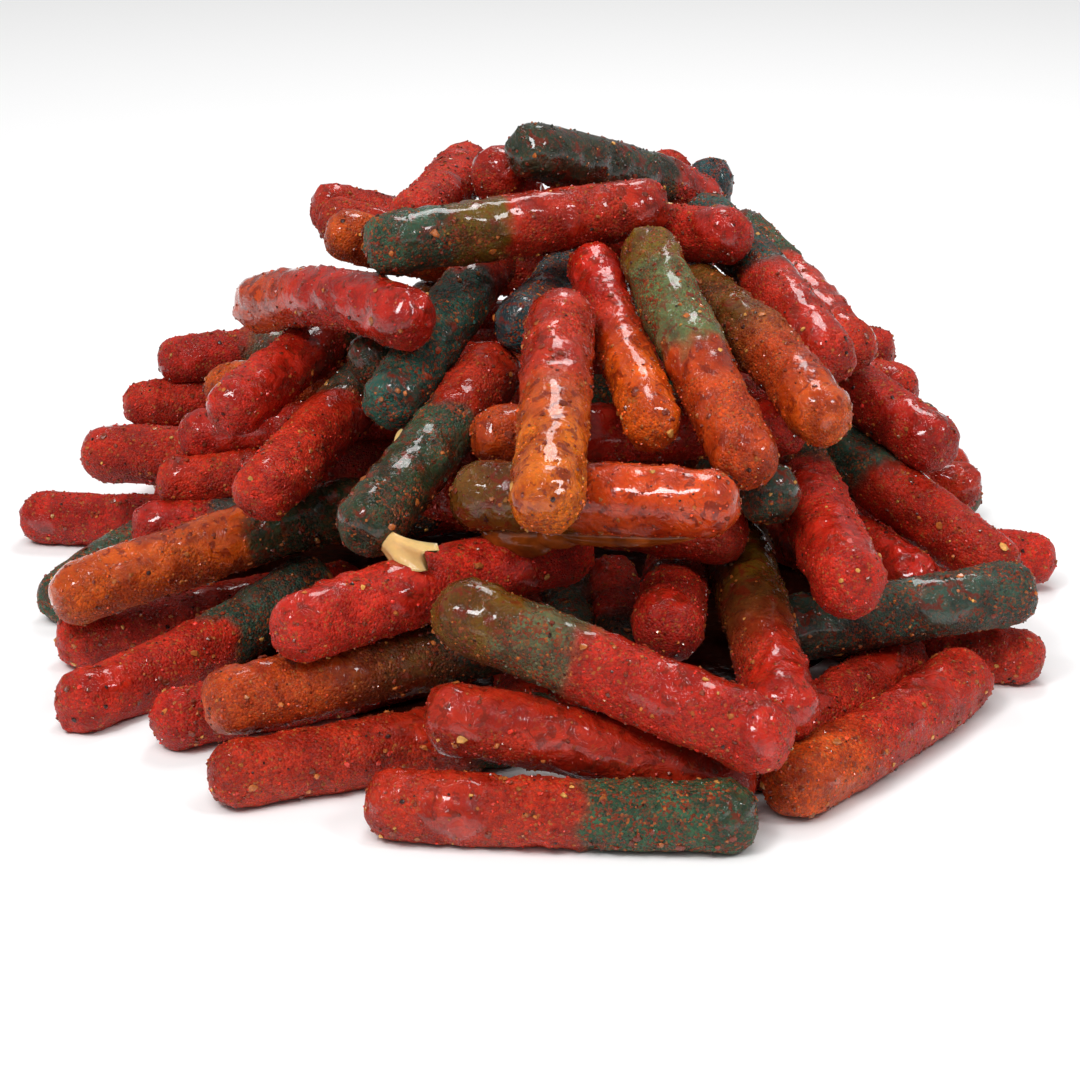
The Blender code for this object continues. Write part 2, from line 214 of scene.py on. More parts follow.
def single_worm(node):
    """The start, middle and end of a worm that lies alone, and its radius."""
    corners = corners_of(node)
    centre = (corners.min(axis=0) + corners.max(axis=0)) / 2
    _, _, axes = np.linalg.svd(corners - corners.mean(axis=0), full_matrices=False)
    along = axes[0]
    t = (corners - centre) @ along
    beside = corners - centre - t[:, None] * along
    powers = np.stack([np.ones_like(t), t, t * t], axis=1)
    shape, *_ = np.linalg.lstsq(powers, beside, rcond=None)

    def spot(t):
        return centre + along * t + shape[0] + shape[1] * t + shape[2] * t * t

    off_line = beside - powers @ shape
    body = np.abs(t - (t.min() + t.max()) / 2) < (t.max() - t.min()) * BODY_SHARE
    radius = float(np.median(np.linalg.norm(off_line[body], axis=1)))
    low, high = t.min() + radius, t.max() - radius
    return spot(low), spot((low + high) / 2), spot(high), radius


def row_of_worms(node):
    """The same for each member of a row of parallel worms, lowest and frontmost first."""
    corners = corners_of(node)
    centre = corners.mean(axis=0)
    sides = side_directions(node)
    size = np.linalg.norm(sides, axis=1)
    use = size > 0
    for _ in range(3):
        spread = (sides[use] / size[use, None]).T @ sides[use]
        along = np.linalg.eigh(spread)[1][:, 0]
        use = (size > 0) & (np.abs(sides @ along) < SIDE_LEAN * size)
    t = (corners - centre) @ along
    beside = corners - centre - t[:, None] * along
    across = np.linalg.svd(beside, full_matrices=False)[2][0]
    thick = np.cross(along, across)
    a, b = beside @ across, beside @ thick
    radius = (b.max() - b.min()) / 2
    count = 1 + round(((a.max() - a.min()) / (2 * radius) - 1) / (1 - STUCK_SHARE))
    pitch = (a.max() - a.min() - 2 * radius) / (count - 1)
    members = []
    for index in range(count):
        place = a.min() + radius + index * pitch
        own = np.abs(a - place) < 0.3 * pitch
        low, high = t[own].min() + radius, t[own].max() - radius
        beside_centre = centre + across * place + thick * (b.max() + b.min()) / 2
        start, middle, end = (beside_centre + along * t_here for t_here in (low, (low + high) / 2, high))
        members.append((start, middle, end, radius))
    return sorted(members, key=lambda member: member[1] @ (0.1, 1.0, 1.0))


# ---------------------------------------------------------------------------------------------
# Materials
# ---------------------------------------------------------------------------------------------


def new_material(name):
    """A material, its node tree and its shader."""
    material = bpy.data.materials.new(name)
    material.use_nodes = True
    tree = material.node_tree
    return material, tree, tree.nodes["Principled BSDF"]


def add_noise(tree, scale, detail=2.0, roughness=0.5, distortion=0.0):
    """Noise fixed to the piece, at so many lumps per metre."""
    place = tree.nodes.new("ShaderNodeTexCoord")
    noise = tree.nodes.new("ShaderNodeTexNoise")
    noise.inputs["Scale"].default_value = scale
    noise.inputs["Detail"].default_value = detail
    noise.inputs["Roughness"].default_value = roughness
    noise.inputs["Distortion"].default_value = distortion
    tree.links.new(place.outputs["Object"], noise.inputs["Vector"])
    return noise.outputs["Fac"]


def add_cells(tree, scale):
    """Rounded grains packed side by side, at so many per metre."""
    place = tree.nodes.new("ShaderNodeTexCoord")
    cells = tree.nodes.new("ShaderNodeTexVoronoi")
    cells.feature = "F1"
    cells.inputs["Scale"].default_value = scale
    tree.links.new(place.outputs["Object"], cells.inputs["Vector"])
    return cells


def add_range(tree, source, low, high, out_low=0.0, out_high=1.0):
    """Eases from out_low to out_high while the source goes from low to high."""
    step = tree.nodes.new("ShaderNodeMapRange")
    step.interpolation_type = "SMOOTHSTEP"
    step.inputs["From Min"].default_value = low
    step.inputs["From Max"].default_value = high
    step.inputs["To Min"].default_value = out_low
    step.inputs["To Max"].default_value = out_high
    tree.links.new(source, step.inputs["Value"])
    return step.outputs["Result"]


def add_mix(tree, share, first, second, blend="MIX"):
    """A mix of two colours. Each of the three is a value, a colour or another node's output."""
    mix = tree.nodes.new("ShaderNodeMix")
    mix.data_type = "RGBA"
    mix.blend_type = blend
    colour_sockets = [socket for socket in mix.inputs if socket.type == "RGBA"]
    for socket, value in zip((mix.inputs[0], *colour_sockets), (share, first, second), strict=True):
        if isinstance(value, bpy.types.NodeSocket):
            tree.links.new(value, socket)
        elif isinstance(value, tuple):
            socket.default_value = (*value, 1.0)
        else:
            socket.default_value = value
    return next(socket for socket in mix.outputs if socket.type == "RGBA")


def add_flavour(tree):
    """The colour that is stored at each corner."""
    flavour = tree.nodes.new("ShaderNodeAttribute")
    flavour.attribute_name = "flavour"
    return flavour.outputs["Color"]


def add_math(tree, operation, first, second, third=None):
    """One sum on values or other nodes' outputs."""
    step = tree.nodes.new("ShaderNodeMath")
    step.operation = operation
    for socket, value in zip(step.inputs, (first, second, third)):
        if isinstance(value, bpy.types.NodeSocket):
            tree.links.new(value, socket)
        elif value is not None:
            socket.default_value = value
    return step.outputs[0]


def add_wetness(tree):
    """How much syrup lies on the surface, from 0 to 1."""
    wet = tree.nodes.new("ShaderNodeAttribute")
    wet.attribute_name = "wet"
    return wet.outputs["Fac"]


def make_gummy(name, coat):
    """Translucent candy that shows its flavour through a coat of fine grains, or through syrup."""
    material, tree, surface = new_material(name)
    wet = add_wetness(tree)
    flavour = add_flavour(tree)

    # The candy is cloudy inside.
    cloud = add_range(tree, add_noise(tree, scale=240.0, detail=3.0, roughness=0.6), 0.30, 0.72)
    shaded = add_mix(tree, cloud, (0.66, 0.52, 0.52), (1.28, 1.55, 1.45))
    flavour = add_mix(tree, 1.0, flavour, shaded, "MULTIPLY")

    # Each cell is one grain, with its own shade, and some are chilli or spice.
    cells = add_cells(tree, 3000.0)
    split = tree.nodes.new("ShaderNodeSeparateColor")
    tree.links.new(cells.outputs["Color"], split.inputs[0])
    own, kind, rise = split.outputs
    dry = add_math(tree, "MULTIPLY_ADD", wet, -0.75, 1.0)
    shade = add_mix(tree, own, (0.66, 0.60, 0.60), (1.34, 1.5, 1.4))
    sandy = add_mix(tree, dry, flavour, add_mix(tree, 1.0, flavour, shade, "MULTIPLY"))
    dusted = add_range(tree, add_noise(tree, scale=380.0, detail=4.0, roughness=0.65), 0.38, 0.66, 0.25, 0.95)
    dusted = add_math(tree, "MULTIPLY", dusted, dry)
    # The dust shows most on the green flavours and on the orange ones.
    channels = tree.nodes.new("ShaderNodeSeparateColor")
    tree.links.new(add_flavour(tree), channels.inputs[0])
    red, green, _ = channels.outputs
    shown = add_math(tree, "MULTIPLY_ADD", red, -1.2, 1.0)
    shown = add_math(tree, "MULTIPLY_ADD", green, 6.0, shown)
    chilli = add_math(tree, "MULTIPLY", add_range(tree, kind, 0.54, 0.66), dusted)
    chilli = add_math(tree, "MULTIPLY", chilli, shown)
    spice = add_math(tree, "MULTIPLY", add_range(tree, kind, 0.91, 0.95), dusted)
    colour = add_mix(tree, chilli, sandy, CHILLI)
    colour = add_mix(tree, spice, colour, SPICE_FLAKE)
    # Chilli that lies under the syrup shows as dark red spots.
    spots = add_noise(tree, scale=520.0, detail=3.0, roughness=0.6, distortion=0.6)
    sunk = add_range(tree, spots, 0.54, 0.62)
    sunk = add_math(tree, "MULTIPLY", sunk, add_math(tree, "MULTIPLY", wet, 0.75))
    colour = add_mix(tree, sunk, colour, SUNK_CHILLI)
    tree.links.new(colour, surface.inputs["Base Color"])

    # Dry grains are dull, each in its own way, and syrup shines.
    dry_gloss = add_range(tree, own, 0.0, 1.0, 0.30, 0.62)
    wet_gloss = add_range(tree, add_noise(tree, scale=700.0, detail=2.0), 0.3, 0.7, 0.05, 0.15)
    gloss = tree.nodes.new("ShaderNodeMix")
    tree.links.new(wet, gloss.inputs[0])
    tree.links.new(dry_gloss, gloss.inputs[2])
    tree.links.new(wet_gloss, gloss.inputs[3])
    tree.links.new(gloss.outputs[0], surface.inputs["Roughness"])

    # Grains stand up at different heights where the coat is dry, and syrup drowns them.
    grains = add_math(tree, "MULTIPLY_ADD", cells.outputs["Distance"], -1.0, rise)
    grains = add_math(tree, "MULTIPLY_ADD", add_noise(tree, scale=2600.0, detail=2.0), 0.8, grains)
    level = add_math(tree, "MULTIPLY_ADD", wet, -0.86, 1.0)
    swell = add_math(tree, "MULTIPLY_ADD", wet, 3.2, 1.2)
    uneven = add_noise(tree, scale=420.0, detail=3.0, roughness=0.6, distortion=0.8)
    ripples = add_math(tree, "MULTIPLY", uneven, swell)
    height = add_math(tree, "MULTIPLY_ADD", grains, level, ripples)
    bump = tree.nodes.new("ShaderNodeBump")
    bump.inputs["Strength"].default_value = 1.0
    bump.inputs["Distance"].default_value = 0.17 * MM
    tree.links.new(height, bump.inputs["Height"])
    tree.links.new(bump.outputs["Normal"], surface.inputs["Normal"])

    surface.inputs["Subsurface Weight"].default_value = 0.45
    surface.inputs["Subsurface Radius"].default_value = (1.0, 0.26, 0.10)
    surface.inputs["Subsurface Scale"].default_value = 1.8 * MM
    surface.inputs["IOR"].default_value = 1.36
    surface.inputs["Coat Weight"].default_value = coat
    surface.inputs["Coat Roughness"].default_value = 0.05
    surface.inputs["Coat IOR"].default_value = 1.5
    return material


def make_grain():
    """Sugar crystals, chilli flakes and spice, each grain in its own colour."""
    material, tree, surface = new_material("spice_and_sugar_grains")
    flavour = add_flavour(tree)
    cloud = add_range(tree, add_noise(tree, scale=1500.0, detail=2.0), 0.3, 0.7)
    shaded = add_mix(tree, cloud, (0.7, 0.65, 0.65), (1.2, 1.2, 1.2))
    colour = add_mix(tree, 1.0, flavour, shaded, "MULTIPLY")
    tree.links.new(colour, surface.inputs["Base Color"])
    gloss = add_range(tree, add_noise(tree, scale=2200.0, detail=1.0), 0.3, 0.7, 0.12, 0.36)
    tree.links.new(gloss, surface.inputs["Roughness"])
    surface.inputs["IOR"].default_value = 1.54
    return material


# Where syrup lies, the candy has a clear coat on top.
CLEAR_COAT = 0.6
MATERIALS = (make_gummy("coated_gummy", 0.0), make_gummy("glazed_gummy", CLEAR_COAT), make_grain())
COATED, GLAZED, GRAIN = range(len(MATERIALS))

# ---------------------------------------------------------------------------------------------
# Worms
# ---------------------------------------------------------------------------------------------

# How finely a worm's surface is divided: round it, over each end, and along it.
SIDES = 40
CAP_RINGS = 8
RING_STEP = 0.75 * MM
# The worm's skin lies just outside its CAD solid, which has flat sides.
SKIN = 0.06 * MM
# Nothing goes below this height, just above the table.
FLOOR = 0.02 * MM
# How dry the candy is under the thickest syrup, which decides how many grains lie there.
DRY_UNDER_SYRUP = 0.25
# Grains lie no lower than this.
LOWEST_GRAIN = 0.5 * MM


def waves(points, size, seed, count=18):
    """Smooth random lumps about `size` across, mostly between -1 and 1."""
    rng = np.random.default_rng(seed)
    ways = rng.normal(size=(count, 3))
    lengths = rng.uniform(0.6, 1.4, count) * 2 * math.pi / size / 1.6
    ways *= (lengths / np.linalg.norm(ways, axis=1))[:, None]
    phases = rng.uniform(0, 2 * math.pi, count)
    return np.sin(points @ ways.T + phases).sum(axis=1) / math.sqrt(count / 2) / 1.6


class Line:
    """A worm's curved line, from the middle of one round end to the middle of the other."""

    def __init__(self, start, middle, end, radius):
        self.start, self.middle, self.end, self.radius = start, middle, end, radius
        self.length = np.linalg.norm(end - start)

    def spot(self, t):
        t = np.asarray(t)[..., None]
        return (
            self.start * (1 - t) * (1 - 2 * t)
            + self.middle * 4 * t * (1 - t)
            + self.end * t * (2 * t - 1)
        )

    def way(self, t):
        t = np.asarray(t)[..., None]
        way = self.start * (4 * t - 3) + self.middle * (4 - 8 * t) + self.end * (4 * t - 1)
        return way / np.linalg.norm(way, axis=-1, keepdims=True)


def stations(line):
    """For each ring: where it is along the line, how far beyond its end, and its share of girth."""
    body = max(2, round(line.length / RING_STEP))
    angles = np.linspace(0, math.pi / 2, CAP_RINGS + 1)[1:-1]
    blunt = np.sin(angles) ** 0.82
    out = np.cos(angles) ** 0.95
    t = np.concatenate([np.zeros(len(angles)), np.linspace(0, 1, body + 1), np.ones(len(angles))])
    beyond = np.concatenate([-out, np.zeros(body + 1), out[::-1]])
    girth = np.concatenate([blunt, np.ones(body + 1), blunt[::-1]])
    return t, beyond * line.radius, girth


def skin_of(line, seed):
    """The worm's surface: corners, triangles, outward directions, and place along it from 0 to 1."""
    t, beyond, girth = stations(line)
    way = line.way(t)
    side = np.cross((0.0, 0.0, 1.0), way)
    side /= np.linalg.norm(side, axis=1, keepdims=True)
    up = np.cross(way, side)
    turn = np.linspace(0, 2 * math.pi, SIDES, endpoint=False)
    out = side[:, None] * np.cos(turn)[None, :, None] + up[:, None] * np.sin(turn)[None, :, None]
    ring_middle = line.spot(t) + way * beyond[:, None]
    reach = (line.radius + SKIN) * girth
    rough = ring_middle[:, None] + out * reach[:, None, None]
    flat = rough.reshape(-1, 3)
    outward = flat - line.spot(np.repeat(t, SIDES))
    outward /= np.linalg.norm(outward, axis=1, keepdims=True)

    # Soft candy bulges and narrows, and its mould and its coat leave small lumps and a few dents.
    lumps = waves(flat, 16 * MM, seed) * 0.16 + waves(flat, 6 * MM, seed + 1) * 0.10
    lumps += waves(flat, 2.6 * MM, seed + 2) * 0.13
    lumps += np.maximum(waves(flat, 1.5 * MM, seed + 3) - 0.35, 0) * 0.26
    lumps -= np.maximum(waves(flat, 4.0 * MM, seed + 4) - 0.8, 0) * 0.45
    flat = flat + outward * (lumps * MM)[:, None]

    rng = np.random.default_rng(seed + 5)
    tips = []
    for end, sign in ((line.start, -1.0), (line.end, 1.0)):
        direction = line.way(0.0 if sign < 0 else 1.0) * sign
        dimple = rng.uniform(0.0, 0.5) * MM
        tips.append(end + direction * (line.radius + SKIN - dimple))
    corners = np.concatenate([flat, tips])
    outward = np.concatenate([outward, [-line.way(0.0), line.way(1.0)]])

    rings = len(t)
    grid = np.arange(rings * SIDES).reshape(rings, SIDES)
    following = np.roll(grid, -1, axis=1)
    low, high = grid[:-1].ravel(), grid[1:].ravel()
    low_next, high_next = following[:-1].ravel(), following[1:].ravel()
    triangles = [
        np.stack([low, low_next, high_next], axis=1),
        np.stack([low, high_next, high], axis=1),
        np.stack([np.full(SIDES, rings * SIDES), following[0], grid[0]], axis=1),
        np.stack([np.full(SIDES, rings * SIDES + 1), grid[-1], following[-1]], axis=1),
    ]
    place = np.clip((t * line.length + beyond + line.radius) / (line.length + 2 * line.radius), 0, 1)
    place = np.concatenate([np.repeat(place, SIDES), [0.0, 1.0]])
    return corners, np.concatenate(triangles), outward, place


def paint(points, place, bands, seed):
    """The colour at each point: flavours run into each other along the worm."""
    ragged = waves(points, 5 * MM, seed) * 0.025 + waves(points, 1.6 * MM, seed + 1) * 0.015
    rng = np.random.default_rng(seed + 2)
    tint = rng.uniform(0.86, 1.14) * np.array((1.0, rng.uniform(0.8, 1.3), 1.0))
    colour = np.tile(np.array(FLAVOURS[bands[0]]), (len(points), 1))
    for before, stop, flavour in zip(bands[::2], bands[1::2], bands[2::2]):
        width = SLOW_BORDER if before in WARM and flavour in WARM else SHORT_BORDER
        share = np.clip((place + ragged - stop) / width + 0.5, 0, 1)
        share = (share * share * (3 - 2 * share))[:, None]
        colour = colour * (1 - share) + np.array(FLAVOURS[flavour]) * share
    return colour * tint


def crystal_templates():
    """Irregular crystals with eight faces and with twenty, one unit across: (corners, triangles)."""
    rng = np.random.default_rng(7)
    golden = (1 + math.sqrt(5)) / 2
    eight = np.array([(1, 0, 0), (-1, 0, 0), (0, 1, 0), (0, -1, 0), (0, 0, 1), (0, 0, -1)], float)
    eight_faces = np.array([(x, y, z) for x in (0, 1) for y in (2, 3) for z in (4, 5)])
    twenty = []
    for a in (-1, 1):
        for b in (-golden, golden):
            twenty += [(0, a, b), (a, b, 0), (b, 0, a)]
    twenty = np.array(twenty, float) / math.sqrt(1 + golden * golden)
    close = np.linalg.norm(twenty[:, None] - twenty[None], axis=2) < 1.2
    twenty_faces = []
    for i in range(12):
        for j in range(i + 1, 12):
            for k in range(j + 1, 12):
                if close[i, j] and close[j, k] and close[i, k]:
                    twenty_faces.append((i, j, k))
    made = []
    for corners, faces, tries in ((eight, eight_faces, 5), (twenty, np.array(twenty_faces), 4)):
        # Every face is turned to look outward.
        outward = []
        for face in faces:
            a, b, c = corners[face]
            outward.append(face if np.cross(b - a, c - a) @ (a + b + c) > 0 else face[::-1])
        group = []
        for _ in range(tries):
            stretch = rng.uniform(0.65, 1.0, 3)
            group.append((corners * 0.5 * stretch + rng.normal(0, 0.07, corners.shape), np.array(outward)))
        made.append(group)
    return made


SMALL_CRYSTALS, LARGE_CRYSTALS = crystal_templates()


def scatter(corners, triangles, outward, colours, wet, count, sizes, templates, palette, rng, flatness):
    """Grains pressed into the surface, fewer under syrup: (corners, triangles, colours)."""
    a, b, c = (corners[triangles[:, k]] for k in range(3))
    area = np.linalg.norm(np.cross(b - a, c - a), axis=1)
    dry = 1.0 - (1.0 - DRY_UNDER_SYRUP) * wet[triangles].mean(axis=1)
    clear = corners[triangles][:, :, 2].min(axis=1) > LOWEST_GRAIN
    weight = area * dry * clear
    chosen = rng.choice(len(triangles), size=count, p=weight / weight.sum())
    u, v = rng.uniform(size=(2, count))
    outside = u + v > 1
    u, v = np.where(outside, 1 - u, u), np.where(outside, 1 - v, v)
    middle = a[chosen] * (1 - u - v)[:, None] + b[chosen] * u[:, None] + c[chosen] * v[:, None]
    normal = outward[triangles[chosen, 0]]
    base = colours[triangles[chosen, 0]]
    kinds = rng.choice(len(palette), size=count, p=[share for share, _ in palette])
    size = rng.uniform(*sizes, size=count)
    all_corners, all_faces, all_colours = [], [], []
    helper = np.where(np.abs(normal[:, 2:]) < 0.9, np.array([[0.0, 0, 1]]), np.array([[1.0, 0, 0]]))
    side = np.cross(helper, normal)
    side /= np.linalg.norm(side, axis=1, keepdims=True)
    spin = rng.uniform(0, 2 * math.pi, count)[:, None]
    other = np.cross(normal, side)
    first = side * np.cos(spin) + other * np.sin(spin)
    second = np.cross(normal, first)
    which = rng.integers(len(templates), size=count)
    done = 0
    for index, (shape, faces) in enumerate(templates):
        mine = np.flatnonzero(which == index)
        if not len(mine):
            continue
        scale = size[mine][:, None, None]
        parts = (
            first[mine][:, None] * shape[None, :, :1]
            + second[mine][:, None] * shape[None, :, 1:2]
            + normal[mine][:, None] * shape[None, :, 2:] * flatness
        )
        placed = middle[mine][:, None] + parts * scale + normal[mine][:, None] * scale * 0.10 * flatness
        all_corners.append(placed.reshape(-1, 3))
        offsets = done + np.arange(len(mine)) * len(shape)
        all_faces.append((faces[None] + offsets[:, None, None]).reshape(-1, 3))
        done += len(mine) * len(shape)
        tint = np.empty((len(mine), 3))
        for row, grain in enumerate(mine):
            own = palette[kinds[grain]][1]
            tint[row] = base[grain] * 1.5 + 0.01 if own is None else own
        tint *= rng.uniform(0.7, 1.3, (len(mine), 1))
        all_colours.append(np.repeat(tint, len(shape), axis=0))
    return np.concatenate(all_corners), np.concatenate(all_faces), np.concatenate(all_colours)


# Each colour's share of the grains. None is sugar, which takes the candy's colour, but lighter.
FINE_PALETTE = ((0.44, None), (0.34, CHILLI), (0.16, SPICE_FLAKE), (0.06, DARK_SPECK))
COARSE_PALETTE = ((0.10, None), (0.48, CHILLI), (0.30, SPICE_FLAKE), (0.05, SEED), (0.07, DARK_SPECK))
WORM_LENGTH = 50 * MM
# For each size of grain: how many on a worm of that length, its range of sizes, its shapes, its
# colours, and how flat it lies.
GRAIN_KINDS = (
    (480, (0.30 * MM, 0.60 * MM), SMALL_CRYSTALS, FINE_PALETTE, 0.9),
    (110, (0.50 * MM, 1.00 * MM), LARGE_CRYSTALS, COARSE_PALETTE, 0.6),
    (12, (1.0 * MM, 1.6 * MM), LARGE_CRYSTALS, COARSE_PALETTE[1:4], 0.35),
)
# How far syrup fills the skin out, and how wet a face must be to get the clear coat.
SYRUP_DEPTH = 0.10 * MM
WET_ENOUGH = 0.55


def join_triangles(corner_sets, triangle_sets):
    """All the triangles, numbered for their corners laid end to end."""
    firsts = np.cumsum([0] + [len(corners) for corners in corner_sets[:-1]])
    return np.concatenate([own + first for own, first in zip(triangle_sets, firsts, strict=True)])


def worm_parts(line, bands, wetness, seed):
    """One worm as arrays: corners, triangles, colours, materials, smoothness and wetness."""
    corners, triangles, outward, place = skin_of(line, seed)
    colours = paint(corners, place, bands, seed + 10)
    wet_field = waves(corners, 9 * MM, seed + 20) * 0.5 + waves(corners, 3 * MM, seed + 21) * 0.18
    wet_field = wet_field + outward[:, 2] * 0.35
    edge = np.quantile(wet_field, 1 - wetness) if wetness < 1 else wet_field.min() - 1
    wet = np.clip((wet_field - edge) / 0.25 + 0.5, 0, 1)
    # Syrup fills the hollows, so the skin stands a little fuller there.
    corners = corners + outward * (wet * SYRUP_DEPTH)[:, None]
    material = np.where(wet[triangles].mean(axis=1) > WET_ENOUGH, GLAZED, COATED)
    smooth = np.ones(len(triangles), bool)

    rng = np.random.default_rng(seed + 30)
    pieces = [(corners, triangles, colours)]
    wetness_of = [wet]
    share = (line.length + 2 * line.radius) / WORM_LENGTH
    for full_count, sizes, templates, palette, flatness in GRAIN_KINDS:
        total = sum(part for part, _ in palette)
        palette = tuple((part / total, tint) for part, tint in palette)
        count = round(full_count * share)
        grains = scatter(
            corners, triangles, outward, colours, wet, count, sizes, templates, palette, rng, flatness
        )
        pieces.append(grains)
        wetness_of.append(np.zeros(len(grains[0])))
    corner_sets, triangle_sets, colour_sets = zip(*pieces, strict=True)
    all_triangles = join_triangles(corner_sets, triangle_sets)
    grain_triangles = len(all_triangles) - len(triangles)
    return (
        np.concatenate(corner_sets),
        all_triangles,
        np.concatenate(colour_sets),
        np.concatenate([material, np.full(grain_triangles, GRAIN)]),
        np.concatenate([smooth, np.zeros(grain_triangles, bool)]),
        np.concatenate(wetness_of),
    )


def make_mesh(name, parts):
    """One mesh from several worms' arrays."""
    corners, triangles, colours, materials, smooth, wet = zip(*parts, strict=True)
    triangles = join_triangles(corners, triangles).astype(np.int32)
    corners = np.concatenate(corners)
    corners[:, 2] = np.maximum(corners[:, 2], FLOOR)
    colours = np.concatenate(colours)
    rgba = np.column_stack([colours, np.ones(len(colours))]).astype(np.float32)

    mesh = bpy.data.meshes.new(name)
    mesh.vertices.add(len(corners))
    mesh.vertices.foreach_set("co", corners.astype(np.float32).ravel())
    mesh.loops.add(triangles.size)
    mesh.loops.foreach_set("vertex_index", triangles.ravel())
    mesh.polygons.add(len(triangles))
    mesh.polygons.foreach_set("loop_start", np.arange(0, triangles.size, 3, dtype=np.int32))
    mesh.polygons.foreach_set("material_index", np.concatenate(materials).astype(np.int32))
    mesh.polygons.foreach_set("use_smooth", np.concatenate(smooth))
    flavour = mesh.attributes.new("flavour", "FLOAT_COLOR", "POINT")
    flavour.data.foreach_set("color", rgba.ravel())
    wetness = mesh.attributes.new("wet", "FLOAT", "POINT")
    wetness.data.foreach_set("value", np.concatenate(wet).astype(np.float32))
    for material in MATERIALS:
        mesh.materials.append(material)
    mesh.update(calc_edges=True)
    mesh.validate()
    return mesh


def turned(line, first_end):
    """The line, running away from the end that its colours are counted from."""
    if (line.end - line.start) @ first_end < 0:
        return Line(line.end, line.middle, line.start, line.radius)
    return line


BODIES = frame["record"]["behaviour"]["bodies"]
BODY_OF = {node: body for body, nodes in BODIES.items() for node in nodes}


def make_piece(node, parts):
    """The candy that takes the place of one CAD part, and moves with its body."""
    piece = bpy.data.objects.new(node + "_candy", make_mesh(node + "_candy", parts))
    bpy.context.scene.collection.objects.link(piece)
    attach(piece, BODY_OF[node])
    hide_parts(node)


# The seeds of the worms stay apart by these steps.
SEED_STEP = 100
FIRST_ROW_SEED = 9000
MEMBER_SEED_STEP = 7


def make_worms():
    for number, (node, (first_end, bands, wetness)) in enumerate(LOOKS.items()):
        line = turned(Line(*single_worm(node)), first_end)
        make_piece(node, [worm_parts(line, bands, wetness, SEED_STEP * number)])

    for number, (node, member_bands) in enumerate(ROW_LOOKS.items()):
        row_seed = FIRST_ROW_SEED + SEED_STEP * number
        parts = []
        for index, (member, bands) in enumerate(zip(row_of_worms(node), member_bands, strict=True)):
            line = turned(Line(*member), FROM_LEFT)
            parts.append(worm_parts(line, bands, ROW_WET, row_seed + MEMBER_SEED_STEP * index))
        make_piece(node, parts)


make_worms()

# ---------------------------------------------------------------------------------------------
# Syrup that ran off the worms, and a dark sheet under the heap that paints its shadow
# ---------------------------------------------------------------------------------------------


def make_syrup(name, colour, shade, roughness=0.07):
    """Set syrup: smooth and wet, with clouds of a darker shade."""
    material, tree, surface = new_material(name)
    cloud = add_range(tree, add_noise(tree, scale=330.0, detail=3.0, roughness=0.6), 0.3, 0.7)
    darker = tuple(value * shade for value in colour)
    tree.links.new(add_mix(tree, cloud, darker, colour), surface.inputs["Base Color"])
    uneven = add_noise(tree, scale=600.0, detail=2.0)
    gloss = add_range(tree, uneven, 0.3, 0.7, roughness, roughness * 2.2)
    tree.links.new(gloss, surface.inputs["Roughness"])
    bump = tree.nodes.new("ShaderNodeBump")
    bump.inputs["Distance"].default_value = 0.12 * MM
    tree.links.new(add_noise(tree, scale=450.0, detail=3.0), bump.inputs["Height"])
    tree.links.new(bump.outputs["Normal"], surface.inputs["Normal"])
    surface.inputs["Subsurface Weight"].default_value = 0.3
    surface.inputs["Subsurface Radius"].default_value = (1.0, 0.5, 0.2)
    surface.inputs["Subsurface Scale"].default_value = 1.0 * MM
    surface.inputs["IOR"].default_value = 1.47
    return material


def closed_grid(name, corners, material, body):
    """A piece from rings of corners, each ring closed, with the first and last ring filled in."""
    rings, around = corners.shape[:2]
    grid = np.arange(rings * around).reshape(rings, around)
    following = np.roll(grid, -1, axis=1)
    sides = np.stack([grid[:-1], following[:-1], following[1:], grid[1:]], axis=-1)
    faces = [grid[0][::-1].tolist(), grid[-1].tolist(), *sides.reshape(-1, 4).tolist()]
    mesh = bpy.data.meshes.new(name)
    mesh.from_pydata([tuple(corner) for corner in corners.reshape(-1, 3)], [], faces)
    mesh.polygons.foreach_set("use_smooth", np.ones(len(faces), bool))
    mesh.materials.append(material)
    mesh.update()
    piece = bpy.data.objects.new(name, mesh)
    bpy.context.scene.collection.objects.link(piece)
    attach(piece, body)
    return piece


# Each ring of the painted shadow sheet under the heap, from its foot to its middle: its share of the width,
# and its height.
PAINTED_SHADOW_RINGS = (
    (0.97, 0.03 * MM),
    (1.0, 0.15 * MM),
    (0.985, 0.34 * MM),
    (0.93, 0.50 * MM),
    (0.7, 0.55 * MM),
    (0.35, 0.60 * MM),
    (0.05, 0.60 * MM),
)
# The size and place of the painted shadow sheet under the heap.
PAINTED_SHADOW_RADIUS = 52 * MM
PAINTED_SHADOW_MIDDLE_Y = 4 * MM


def make_painted_shadow(material):
    """A thin dark sheet under the middle of the heap's foot that darkens the gaps between the worms: painted
    shadow, shaped like drained syrup.
    """
    turn = np.linspace(0, 2 * math.pi, 96, endpoint=False)
    wavy = 0.05 * np.sin(3 * turn + 1) + 0.04 * np.sin(7 * turn) + 0.02 * np.sin(13 * turn + 2)
    edge = PAINTED_SHADOW_RADIUS * (1 + wavy)
    rings = []
    for share, height in PAINTED_SHADOW_RINGS:
        x = edge * share * np.cos(turn)
        y = edge * share * np.sin(turn) + PAINTED_SHADOW_MIDDLE_Y
        rings.append(np.stack([x, y, np.full_like(turn, height)], axis=1))
    return closed_grid("painted_shadow_sheet", np.array(rings), material, "heap")


